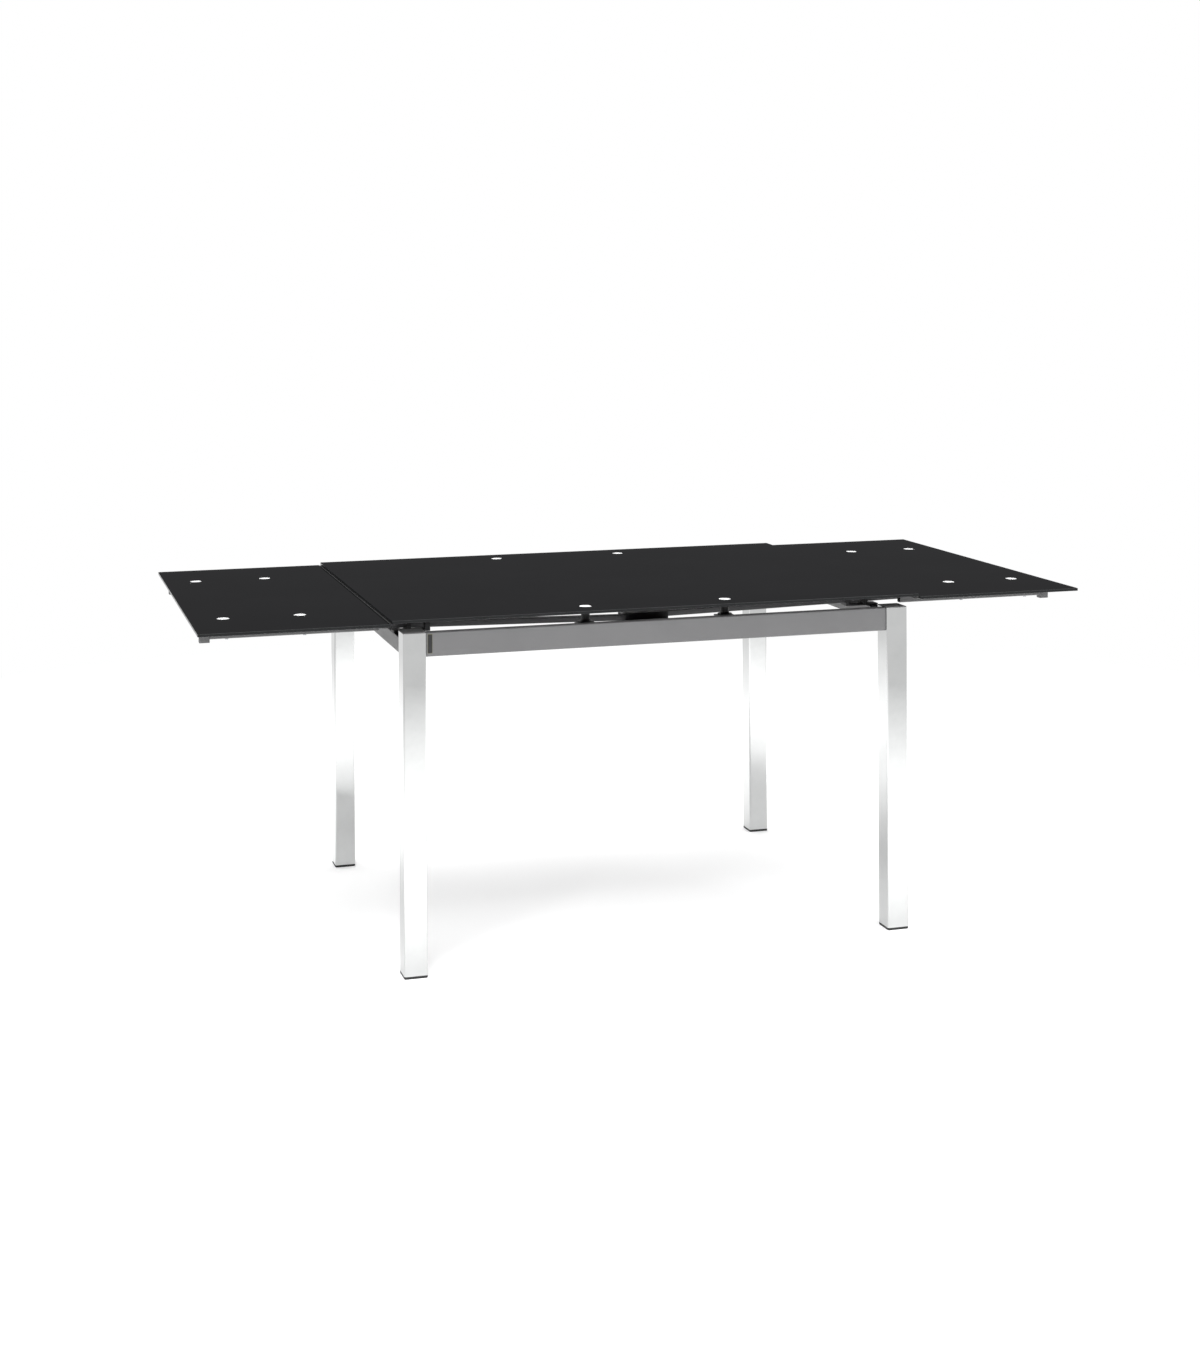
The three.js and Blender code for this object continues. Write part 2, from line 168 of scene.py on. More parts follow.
def remap(tree, value, low, high, to_low, to_high):
    """A Map Range node. Each limit is a number or a socket."""
    node = tree.nodes.new("ShaderNodeMapRange")
    tree.links.new(value, node.inputs["Value"])
    for label, limit in (("From Min", low), ("From Max", high), ("To Min", to_low), ("To Max", to_high)):
        if isinstance(limit, (int, float)):
            node.inputs[label].default_value = limit
        else:
            tree.links.new(limit, node.inputs[label])
    return node.outputs["Result"]


def smudge_group():
    """Roughness that varies from clean to handled, in soft patches."""
    group, source, sink = new_group(
        "handled_finish",
        [("Scale", "NodeSocketFloat", 6.0), ("Clean", "NodeSocketFloat", 0.05),
         ("Handled", "NodeSocketFloat", 0.12)],
        [("Roughness", "NodeSocketFloat"), ("Mask", "NodeSocketFloat")])
    noise = add_noise(group, object_coordinates(group), source.outputs["Scale"], 6.0, 0.62)
    mask = remap(group, noise, 0.42, 0.68, 0.0, 1.0)
    rough = remap(group, mask, 0.0, 1.0, source.outputs["Clean"], source.outputs["Handled"])
    group.links.new(rough, sink.inputs["Roughness"])
    group.links.new(mask, sink.inputs["Mask"])
    return group


def grain_group():
    """Fine sprayed or moulded grain: a height for a Bump node and a gentle change of shade."""
    group, source, sink = new_group(
        "fine_grain",
        [("Scale", "NodeSocketFloat", 900.0), ("Patch Scale", "NodeSocketFloat", 9.0),
         ("Colour", "NodeSocketColor", (0.5, 0.5, 0.5, 1)),
         ("Worn Colour", "NodeSocketColor", (0.6, 0.6, 0.6, 1))],
        [("Height", "NodeSocketFloat"), ("Colour", "NodeSocketColor")])
    coords = object_coordinates(group)
    height = add_noise(group, coords, source.outputs["Scale"], 3.0)
    patch = add_noise(group, coords, source.outputs["Patch Scale"], 5.0, 0.6)
    mix = group.nodes.new("ShaderNodeMix")
    mix.data_type = "RGBA"
    group.links.new(remap(group, patch, 0.35, 0.7, 0.0, 1.0), mix.inputs["Factor"])
    group.links.new(source.outputs["Colour"], mix.inputs[6])
    group.links.new(source.outputs["Worn Colour"], mix.inputs[7])
    group.links.new(height, sink.inputs["Height"])
    group.links.new(mix.outputs[2], sink.inputs["Colour"])
    return group


def turned_group():
    """Fine rings around a disc's own axis."""
    group, source, sink = new_group(
        "turned_rings", [("Scale", "NodeSocketFloat", 900.0)], [("Height", "NodeSocketFloat")])
    flat = group.nodes.new("ShaderNodeVectorMath")
    flat.operation = "MULTIPLY"
    flat.inputs[1].default_value = (1, 1, 0)
    group.links.new(object_coordinates(group), flat.inputs[0])
    length = group.nodes.new("ShaderNodeVectorMath")
    length.operation = "LENGTH"
    group.links.new(flat.outputs["Vector"], length.inputs[0])
    spread = group.nodes.new("ShaderNodeCombineXYZ")
    group.links.new(length.outputs["Value"], spread.inputs["X"])
    rings = add_noise(group, spread.outputs["Vector"], source.outputs["Scale"], 2.0)
    group.links.new(rings, sink.inputs["Height"])
    return group


def group_named(name):
    makers = {"handled_finish": smudge_group, "fine_grain": grain_group, "turned_rings": turned_group}
    return bpy.data.node_groups.get(name) or makers[name]()


def place_group(tree, name, values):
    node = tree.nodes.new("ShaderNodeGroup")
    node.node_tree = group_named(name)
    for label, value in values.items():
        node.inputs[label].default_value = value
    return node


# ---- Materials

def start_material(name, metallic, **constants):
    """A new material with its Principled shader, whose constant values sit on its own sockets."""
    made = bpy.data.materials.new(name)
    made.use_nodes = True
    shader = made.node_tree.nodes["Principled BSDF"]
    shader.inputs["Metallic"].default_value = metallic
    for label, value in constants.items():
        shader.inputs[label.replace("_", " ")].default_value = value
    return made, made.node_tree, shader


def add_bump(tree, shader, height, strength, distance):
    bump = tree.nodes.new("ShaderNodeBump")
    bump.inputs["Strength"].default_value = strength
    bump.inputs["Distance"].default_value = distance
    tree.links.new(height, bump.inputs["Height"])
    tree.links.new(bump.outputs["Normal"], shader.inputs["Normal"])


def add_smudges(tree, shader, scale, clean, handled):
    smudges = place_group(tree, "handled_finish", {"Scale": scale, "Clean": clean, "Handled": handled})
    tree.links.new(smudges.outputs["Roughness"], shader.inputs["Roughness"])
    return smudges


def add_grain(tree, shader, colour, worn, grain_scale, patch_scale, strength, distance):
    grain = place_group(tree, "fine_grain", {
        "Scale": grain_scale, "Patch Scale": patch_scale, "Colour": (*colour, 1), "Worn Colour": (*worn, 1)})
    tree.links.new(grain.outputs["Colour"], shader.inputs["Base Color"])
    add_bump(tree, shader, grain.outputs["Height"], strength, distance)


def shade(colour, factor):
    return tuple(min(1.0, channel * factor) for channel in colour)


def black_glass():
    made, tree, shader = start_material("black_glass_finish", 0.0, IOR=1.5)
    add_smudges(tree, shader, 3.0, 0.015, 0.03)
    add_grain(tree, shader, colours().glass, shade(colours().glass, 1.5), 14.0, 4.0, 0.02, 0.001)
    return made


def glass_edge():
    made, tree, shader = start_material("glass_edge_finish", 0.0, IOR=1.5, Specular_IOR_Level=0.25)
    add_smudges(tree, shader, 40.0, 0.16, 0.3)
    add_grain(tree, shader, colours().glass_edge, shade(colours().glass_edge, 1.6), 700.0, 25.0, 0.1, 0.0002)
    return made


def leg_chrome():
    made, tree, shader = start_material("leg_chrome_finish", 1.0)
    add_smudges(tree, shader, 12.0, 0.02, 0.045)
    add_grain(tree, shader, colours().chrome, shade(colours().chrome, 0.95), 9.0, 20.0, 0.06, 0.004)
    return made


def disc_metal():
    made, tree, shader = start_material("disc_metal_finish", 1.0)
    rings = place_group(tree, "turned_rings", {"Scale": 1400.0})
    add_bump(tree, shader, rings.outputs["Height"], 0.12, 0.0002)
    smudges = add_smudges(tree, shader, 120.0, 0.5, 0.6)
    ramp = tree.nodes.new("ShaderNodeMix")
    ramp.data_type = "RGBA"
    ramp.inputs[6].default_value = (*colours().disc, 1)
    ramp.inputs[7].default_value = (*shade(colours().disc, 0.9), 1)
    tree.links.new(smudges.outputs["Mask"], ramp.inputs["Factor"])
    tree.links.new(ramp.outputs[2], shader.inputs["Base Color"])
    return made


def painted(name, colour, clean, handled):
    made, tree, shader = start_material(name, 0.0)
    add_smudges(tree, shader, 9.0, clean, handled)
    add_grain(tree, shader, colour, shade(colour, 1.08), 650.0, 7.0, 0.18, 0.0003)
    return made


def black_plastic():
    made, tree, shader = start_material("black_plastic_finish", 0.0)
    add_smudges(tree, shader, 30.0, 0.45, 0.6)
    add_grain(tree, shader, colours().plastic, shade(colours().plastic, 1.7), 1500.0, 30.0, 0.3, 0.0003)
    return made


def zinc_plate():
    made, tree, shader = start_material("zinc_plate_finish", 1.0)
    add_smudges(tree, shader, 60.0, 0.28, 0.42)
    add_grain(tree, shader, colours().zinc, shade(colours().zinc, 0.85), 400.0, 45.0, 0.15, 0.0002)
    return made


def soft_washer():
    made, tree, shader = start_material("soft_washer_finish", 0.0)
    add_smudges(tree, shader, 60.0, 0.6, 0.75)
    add_grain(tree, shader, (0.35, 0.35, 0.35), (0.45, 0.45, 0.45), 900.0, 60.0, 0.2, 0.0002)
    return made


def label_edge():
    made, tree, shader = start_material("label_edge_finish", 0.0)
    add_smudges(tree, shader, 60.0, 0.35, 0.5)
    add_grain(tree, shader, (0.09, 0.083, 0.02), (0.12, 0.11, 0.03), 900.0, 90.0, 0.05, 0.0001)
    return made


MAKERS = {
    "black_glass": black_glass,
    "glass_edge": glass_edge,
    "leg_chrome": leg_chrome,
    "disc_metal": disc_metal,
    "grey_paint": lambda: painted("grey_paint_finish", colours().paint, 0.42, 0.52),
    "runner_steel": lambda: painted("runner_steel_finish", colours().dark_paint, 0.38, 0.5),
    "post_steel": lambda: painted("post_steel_finish", colours().plastic, 0.35, 0.5),
    "black_plastic": black_plastic,
    "zinc_plate": zinc_plate,
    "soft_washer": soft_washer,
    "label_edge": label_edge,
}


def material(name):
    """A finish's material, made when it is first asked for.

    The frame has plain ones under the slots' names.
    """
    return bpy.data.materials.get(f"{name}_finish") or MAKERS[name]()


# ---- Mesh building

def rounded_rectangle(width, depth, radius, centre=(0, 0), steps=8):
    """An outline that can be drawn again at an inset: a function of the inset that gives its points."""
    def outline(inset):
        r = max(radius - inset, 0.05 * MM)
        x = width / 2 - inset - r
        y = depth / 2 - inset - r
        points = []
        for quarter, (sx, sy) in enumerate(((1, 1), (-1, 1), (-1, -1), (1, -1))):
            for i in range(steps + 1):
                angle = math.pi / 2 * (quarter + i / steps)
                points.append((centre[0] + sx * x + r * math.cos(angle),
                               centre[1] + sy * y + r * math.sin(angle)))
        return points
    return outline


def round_hole(radius, centre=(0, 0), steps=64):
    def outline(inset):
        r = radius + inset
        turns = [math.tau * i / steps for i in range(steps)]
        return [(centre[0] + r * math.cos(a), centre[1] + r * math.sin(a)) for a in turns]
    return outline


def hexagon_hole(radius):
    def outline(inset):
        return [((radius + inset) * math.cos(math.tau * i / 6), (radius + inset) * math.sin(math.tau * i / 6))
                for i in range(6)]
    return outline


def widened(outline):
    """Turns an outer outline into a hole's, so that its rim opens outwards."""
    return lambda inset: outline(-inset)


def edge_steps(height, edge, steps=3):
    """Pairs of inset and height up the side of a plate with rounded edges."""
    curve = [(edge * (1 - math.sin(math.pi / 2 * i / steps)), edge * (1 - math.cos(math.pi / 2 * i / steps)))
             for i in range(steps + 1)]
    return curve + [(inset, height - z) for inset, z in reversed(curve)]


def add_prism(bm, outlines, height, edge, base=0.0):
    """A plate of the first outline with the other outlines as holes, and rounded edges."""
    first, last = [], []
    for outline in outlines:
        rings = [[bm.verts.new((x, y, base + z)) for x, y in outline(inset)]
                 for inset, z in edge_steps(height, edge)]
        for lower, upper in zip(rings, rings[1:]):
            for i in range(len(lower)):
                j = (i + 1) % len(lower)
                bm.faces.new((lower[i], lower[j], upper[j], upper[i]))
        for ring, store in ((rings[0], first), (rings[-1], last)):
            store.extend(bm.edges.get((ring[i], ring[(i + 1) % len(ring)])) for i in range(len(ring)))
    for rim in (first, last):
        bmesh.ops.triangle_fill(bm, use_beauty=True, edges=rim)


def add_turned(bm, profile, steps=64, base=0.0):
    """A turned solid from radius and height pairs that start and end on the axis."""
    rings = []
    for r, z in profile:
        if r < 1e-7:
            rings.append([bm.verts.new((0, 0, base + z))])
        else:
            turns = [math.tau * i / steps for i in range(steps)]
            rings.append([bm.verts.new((r * math.cos(a), r * math.sin(a), base + z)) for a in turns])
    for lower, upper in zip(rings, rings[1:]):
        for i in range(steps):
            j = (i + 1) % steps
            if len(lower) == 1:
                bm.faces.new((lower[0], upper[j], upper[i]))
            elif len(upper) == 1:
                bm.faces.new((lower[i], lower[j], upper[0]))
            else:
                bm.faces.new((lower[i], lower[j], upper[j], upper[i]))


def chamfered(profile, size):
    """A turned profile with each corner off the axis cut back."""
    points = [profile[0]]
    for before, corner, after in zip(profile, profile[1:], profile[2:]):
        here = Vector(corner)
        for other in (before, after):
            towards = Vector(other) - here
            reach = min(size, towards.length * 0.4)
            points.append(tuple(here + towards.normalized() * reach))
    return points + [profile[-1]]


def finish_piece(name, bm, slot, body, finish=None, place=(0, 0, 0), replaces=(), turn=None):
    """Makes an object from bm, with its material and smooth shading, riding on a body."""
    bmesh.ops.recalc_face_normals(bm, faces=bm.faces)
    mesh = bpy.data.meshes.new(name)
    for face in bm.faces:
        face.smooth = True
    bm.to_mesh(mesh)
    bm.free()
    mesh.set_sharp_from_angle(angle=SMOOTH_ANGLE)
    piece = bpy.data.objects.new(name, mesh)
    bpy.context.scene.collection.objects.link(piece)
    piece.matrix_world = Matrix.Translation(place) @ (turn or Matrix.Identity(4))
    mesh.materials.append(material(finish or slot))
    normals = piece.modifiers.new("flat_faces", "WEIGHTED_NORMAL")
    normals.keep_sharp = True
    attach(piece, body)
    if replaces:
        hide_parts(*replaces)
    return piece


def node_body(node):
    return frame["nodes"][node]["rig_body"]


def node_slot(node):
    slots = {part["node"]: part["material_slot"] for part in frame["record"]["subparts"]}
    return slots[node]


def eased_copy(node, edge=None, segments=2):
    """A finished piece from a frame node's own shape, with its edges rounded."""
    bm = bmesh.new()
    bm.from_mesh(frame["nodes"][node].data)
    bmesh.ops.remove_doubles(bm, verts=bm.verts, dist=1e-6)
    bmesh.ops.dissolve_limit(bm, angle_limit=math.radians(1), verts=bm.verts, edges=bm.edges)
    sharp = [e for e in bm.edges if len(e.link_faces) == 2 and e.calc_face_angle(0) > math.radians(32)]
    bmesh.ops.bevel(bm, geom=sharp, offset=edge or sizes().metal_edge, offset_type="OFFSET",
                    segments=segments, profile=0.5, affect="EDGES", clamp_overlap=True)
    return finish_piece(f"{node}_finished", bm, node_slot(node), node_body(node), replaces=(node,))


def middle(node):
    low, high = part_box(node)
    return (low + high) / 2


def extent(node):
    low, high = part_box(node)
    return high - low


# ---- Operators: the tops

class TABLE_OT_glass(bpy.types.Operator):
    """Make the three glass panels, with ground edges and a round hole for each disc"""
    bl_idname = "table.glass"
    bl_label = "Glass panels"

    def execute(self, context):
        hole_gap = 0.25 * MM
        corner_radius = 3 * MM
        discs = {"centre_glass": [f"{place}_centre_pin" for place, _, _ in CORNERS]}
        for end, _ in ENDS:
            discs[f"{end}_leaf_glass"] = [f"{row}_{end}_{kind}_disc" for row, _ in ROWS
                                          for kind in ("outer", "inner")]
        for node, fixings in discs.items():
            low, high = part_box(node)
            size = high - low
            centre = (low + high) / 2
            outlines = [rounded_rectangle(size.x, size.y, corner_radius)]
            for fixing in fixings:
                at = middle(fixing) - centre
                outlines.append(round_hole(extent(fixing).x / 2 + hole_gap, (at.x, at.y)))
            bm = bmesh.new()
            add_prism(bm, outlines, size.z, sizes().glass_arris)
            panel = finish_piece(f"{node}_panel", bm, "black_glass", node_body(node),
                                 place=(centre.x, centre.y, low.z), replaces=(node,))
            panel.data.materials.append(material("glass_edge"))
            for face in panel.data.polygons:
                if abs(face.normal.z) < 0.98:
                    face.material_index = 1
        return {"FINISHED"}


def disc_top(radius, top, rim, crown):
    """The upper part of a disc's profile: its flank, its rounded rim and a slightly crowned face."""
    steps = 4
    rounded = [(radius - rim * (1 - math.cos(math.pi / 2 * i / steps)),
                top - crown - rim * (1 - math.sin(math.pi / 2 * i / steps))) for i in range(steps + 1)]
    face = [(radius * share, top - crown * share ** 2) for share in (0.75, 0.5, 0.25)]
    return rounded + face + [(0, top)]


class TABLE_OT_discs(bpy.types.Operator):
    """Make the turned discs that hold the leaves' glass"""
    bl_idname = "table.discs"
    bl_label = "Leaf discs"

    def execute(self, context):
        head = 3 * MM
        stem_radius = 6 * MM
        for place, _, _ in CORNERS:
            for kind in ("outer", "inner"):
                node = f"{place}_{kind}_disc"
                low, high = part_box(node)
                radius = (high.x - low.x) / 2
                height = high.z - low.z
                stem = [(0, 0), (stem_radius, 0), (stem_radius, height - head),
                        (radius - 0.3 * MM, height - head)]
                profile = chamfered(stem + [(radius, height - head + 0.3 * MM)], 0.2 * MM)[:-1]
                profile += disc_top(radius, height, sizes().disc_rim, 0.35 * MM)
                bm = bmesh.new()
                add_turned(bm, profile)
                centre = (low + high) / 2
                finish_piece(f"{node}_turned", bm, "disc_metal", node_body(node),
                             place=(centre.x, centre.y, low.z), replaces=(node,))
        return {"FINISHED"}


class TABLE_OT_centre_pins(bpy.types.Operator):
    """Make the discs, posts and pins that carry the centre top"""
    bl_idname = "table.centre_pins"
    bl_label = "Centre pins"

    def execute(self, context):
        glass_low, glass_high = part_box("centre_glass")
        collar = 3 * MM
        collar_radius = 12 * MM
        post_radius = 9.5 * MM
        pin_radius = 5 * MM
        stem_radius = 6 * MM
        tip_radius = 7 * MM
        tip_height = 4 * MM
        head = 3 * MM
        gap = 0.3 * MM
        for place, _, _ in CORNERS:
            node = f"{place}_centre_pin"
            sleeve_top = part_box(f"{place}_sleeve_bracket")[1].z
            low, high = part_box(node)
            radius = (high.x - low.x) / 2
            post_low = sleeve_top + gap - low.z
            post_high = glass_low.z - gap - low.z
            neck = glass_high.z - head - low.z
            outline = [(0, 0), (tip_radius, 0), (tip_radius, tip_height), (pin_radius, tip_height),
                       (pin_radius, post_low), (post_radius, post_low), (post_radius, post_high - collar),
                       (collar_radius, post_high - collar), (collar_radius, post_high),
                       (stem_radius, post_high), (stem_radius, neck), (radius, neck), (radius, neck + 1 * MM)]
            profile = chamfered(outline, 0.4 * MM)[:-1]
            profile += disc_top(radius, high.z - low.z, sizes().disc_rim, 0.35 * MM)
            bm = bmesh.new()
            add_turned(bm, profile)
            centre = (low + high) / 2
            pin = finish_piece(f"{node}_turned", bm, "disc_metal", node_body(node),
                               place=(centre.x, centre.y, low.z), replaces=(node,))
            pin.data.materials.append(material("post_steel"))
            for face in pin.data.polygons:
                if face.center.z < neck:
                    face.material_index = 1
        return {"FINISHED"}


class TABLE_OT_seals(bpy.types.Operator):
    """Make the soft black strip along each leaf's inner edge, under the centre glass"""
    bl_idname = "table.seals"
    bl_label = "Seam strips"

    def execute(self, context):
        reach = 12 * MM
        height = 3.6 * MM
        gap = 0.3 * MM
        short = 5 * MM
        below_leaf_top = 0.2 * MM
        for end, side in ENDS:
            low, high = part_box(f"{end}_leaf_glass")
            inner_edge = low.x if side > 0 else high.x
            bm = bmesh.new()
            outline = rounded_rectangle(reach, high.y - low.y - 2 * short, 1 * MM)
            add_prism(bm, [outline], height, 0.4 * MM)
            x = inner_edge - side * (reach / 2 + gap)
            finish_piece(f"{end}_seam_strip", bm, "black_plastic", f"{end}_leaf",
                         place=(x, middle(f"{end}_leaf_glass").y, high.z - below_leaf_top - height))
        return {"FINISHED"}


class TABLE_OT_washers(bpy.types.Operator):
    """Make the soft washers under the glass at each leaf disc"""
    bl_idname = "table.washers"
    bl_label = "Soft washers"

    def execute(self, context):
        for end, _ in ENDS:
            glass_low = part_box(f"{end}_leaf_glass")[0].z
            for kind in ("outer", "inner"):
                bar_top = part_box(f"{end}_{kind}_crossbar")[1].z
                for row, _ in ROWS:
                    node = f"{row}_{end}_{kind}_disc"
                    centre = middle(node)
                    thickness = glass_low - bar_top - 0.1 * MM
                    bm = bmesh.new()
                    rim = round_hole(sizes().washer_radius)
                    add_prism(bm, [widened(rim), round_hole(6.4 * MM)], thickness, 0.3 * MM)
                    finish_piece(f"{row}_{end}_{kind}_washer", bm, "black_plastic", node_body(node),
                                 finish="soft_washer", place=(centre.x, centre.y, bar_top + 0.05 * MM))
        return {"FINISHED"}


# ---- Operators: the frame

class TABLE_OT_legs(bpy.types.Operator):
    """Make the four square chrome legs as tubes with round corners"""
    bl_idname = "table.legs"
    bl_label = "Legs"

    def execute(self, context):
        corner = sizes().leg_corner
        wall = sizes().leg_wall
        for place, _, _ in CORNERS:
            node = f"{place}_leg"
            low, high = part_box(node)
            size = high - low
            bore = rounded_rectangle(size.x - 2 * wall, size.y - 2 * wall, corner - wall)
            bm = bmesh.new()
            add_prism(bm, [rounded_rectangle(size.x, size.y, corner), widened(bore)], size.z, 0.3 * MM)
            centre = (low + high) / 2
            finish_piece(f"{node}_tube", bm, "leg_chrome", node_body(node),
                         place=(centre.x, centre.y, low.z), replaces=(node,))
        return {"FINISHED"}


class TABLE_OT_leg_ends(bpy.types.Operator):
    """Make the black feet and the grey caps that close the tops of the legs"""
    bl_idname = "table.leg_ends"
    bl_label = "Feet and caps"

    def execute(self, context):
        corner = sizes().leg_corner
        plug_inset = sizes().leg_wall + 0.3 * MM
        for place, _, _ in CORNERS:
            leg_low, leg_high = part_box(f"{place}_leg")
            for kind in ("foot", "leg_cap"):
                node = f"{place}_{kind}"
                low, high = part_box(node)
                size = high - low
                plug = rounded_rectangle(size.x - 2 * plug_inset, size.y - 2 * plug_inset,
                                         corner - plug_inset)
                if kind == "foot":
                    plate_base, plate_height = 0.0, leg_low.z - 0.3 * MM - low.z
                    plug_base, plug_height = plate_height, high.z - low.z - plate_height
                else:
                    plate_base = leg_high.z + 0.3 * MM - low.z
                    plate_height = high.z - low.z - plate_base
                    plug_base, plug_height = 0.0, plate_base
                bm = bmesh.new()
                add_prism(bm, [rounded_rectangle(size.x, size.y, corner)], plate_height,
                          min(0.7 * MM, plate_height * 0.4), plate_base)
                add_prism(bm, [plug], plug_height, 0.2 * MM, plug_base)
                centre = (low + high) / 2
                finish_piece(f"{node}_moulded", bm, node_slot(node), node_body(node),
                             place=(centre.x, centre.y, low.z), replaces=(node,))
        return {"FINISHED"}


class TABLE_OT_aprons(bpy.types.Operator):
    """Make the four apron tubes"""
    bl_idname = "table.aprons"
    bl_label = "Aprons"

    def execute(self, context):
        wall = 1.5 * MM
        for node in ("front_apron", "rear_apron", "left_apron", "right_apron"):
            low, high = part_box(node)
            size = high - low
            along_x = size.x > size.y
            length = size.x if along_x else size.y
            thickness = size.y if along_x else size.x
            outer = rounded_rectangle(thickness, size.z, 2.2 * MM)
            bore = rounded_rectangle(thickness - 2 * wall, size.z - 2 * wall, 0.7 * MM)
            bm = bmesh.new()
            add_prism(bm, [outer, widened(bore)], length, 0.25 * MM, -length / 2)
            upright = Matrix.Rotation(math.pi / 2, 4, "X")
            turn = Matrix.Rotation(math.pi / 2, 4, "Z") @ upright if along_x else upright
            finish_piece(f"{node}_tube", bm, "grey_paint", node_body(node),
                         place=middle(node), replaces=(node,), turn=turn)
        return {"FINISHED"}


class TABLE_OT_carriages(bpy.types.Operator):
    """Finish the rails, end blocks, crossbars and runners that carry the leaves"""
    bl_idname = "table.carriages"
    bl_label = "Leaf carriages"

    def execute(self, context):
        for end, _ in ENDS:
            for kind in ("outer", "inner"):
                eased_copy(f"{end}_{kind}_crossbar")
        for place, _, _ in CORNERS:
            eased_copy(f"{place}_rail", 0.25 * MM)
            eased_copy(f"{place}_end_block", 1.0 * MM, 3)
            eased_copy(f"{place}_runner", 1.0 * MM, 3)
        return {"FINISHED"}


class TABLE_OT_guides(bpy.types.Operator):
    """Finish the end guides, the centre guides and the sleeve brackets"""
    bl_idname = "table.guides"
    bl_label = "Guides and brackets"

    def execute(self, context):
        for place, _, _ in CORNERS:
            eased_copy(f"{place}_end_guide", 0.8 * MM, 3)
            eased_copy(f"{place}_sleeve_bracket", 0.4 * MM)
        for row, _ in ROWS:
            eased_copy(f"{row}_centre_guide", 0.8 * MM, 3)
        return {"FINISHED"}


def add_bolt_head(bm, radius, height):
    """A socket head: a disc, a ring above it with a hexagon socket, and a rounded rim."""
    floor = height * 0.4
    rim = round_hole(radius)
    add_prism(bm, [widened(rim)], floor, 0.2 * MM)
    add_prism(bm, [widened(rim), hexagon_hole(radius * 0.5)], height - floor, 0.4 * MM, floor)


class TABLE_OT_corner_plates(bpy.types.Operator):
    """Make the corner plates that join the aprons and the bolts that draw the legs to them"""
    bl_idname = "table.corner_plates"
    bl_label = "Corner plates"

    def execute(self, context):
        thickness = 3 * MM
        flange = 22 * MM
        gap = 0.2 * MM
        plate_height = 26 * MM
        lift = 3 * MM
        reach_past_leg = 45 * MM
        apron_bolt_radius = 4.5 * MM
        apron_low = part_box("right_apron")[0]
        long_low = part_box("rear_apron")[0]
        base = apron_low.z + lift
        wall_x = apron_low.x - gap
        wall_y = long_low.y - gap
        start_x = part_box("rear_right_leg")[0].x - reach_past_leg
        start_y = wall_y - (wall_x - start_x)
        outer = [(start_x - flange, wall_y), (start_x, wall_y), (wall_x, start_y), (wall_x, start_y - flange)]
        slant = thickness * math.tan(math.pi / 8)
        inner = [(wall_x - thickness, start_y - flange), (wall_x - thickness, start_y - slant),
                 (start_x - slant, wall_y - thickness), (start_x - flange, wall_y - thickness)]
        for place, side, across in CORNERS:
            bm = bmesh.new()
            lower = [bm.verts.new((side * x, across * y, base)) for x, y in outer + inner]
            face = bm.faces.new(lower)
            raised = bmesh.ops.extrude_face_region(bm, geom=[face])
            moved = [v for v in raised["geom"] if isinstance(v, bmesh.types.BMVert)]
            bmesh.ops.translate(bm, vec=(0, 0, plate_height), verts=moved)
            bmesh.ops.recalc_face_normals(bm, faces=bm.faces)
            bmesh.ops.bevel(bm, geom=list(bm.edges), offset=0.35 * MM, segments=2, profile=0.5,
                            affect="EDGES")
            finish_piece(f"{place}_corner_plate", bm, "runner_steel", "frame", finish="zinc_plate")

            towards = Vector((-side, -across, 0)).normalized()
            diagonal = Vector((side * (start_x + wall_x) / 2, across * (wall_y + start_y) / 2,
                               base + plate_height / 2))
            self.add_bolt(f"{place}_leg_bolt", diagonal + towards * (thickness + gap), towards,
                          sizes().bolt_radius)
            across_x = Vector((side * (start_x - flange / 2), across * (wall_y - thickness - gap),
                               diagonal.z))
            self.add_bolt(f"{place}_long_apron_bolt", across_x, Vector((0, -across, 0)), apron_bolt_radius)
            across_y = Vector((side * (wall_x - thickness - gap), across * (start_y - flange / 2),
                               diagonal.z))
            self.add_bolt(f"{place}_end_apron_bolt", across_y, Vector((-side, 0, 0)), apron_bolt_radius)
        return {"FINISHED"}

    def add_bolt(self, name, place, direction, radius):
        bm = bmesh.new()
        add_bolt_head(bm, radius, radius * 0.85)
        turn = direction.to_track_quat("Z", "Y").to_matrix().to_4x4()
        finish_piece(name, bm, "runner_steel", "frame", finish="zinc_plate", place=place, turn=turn)


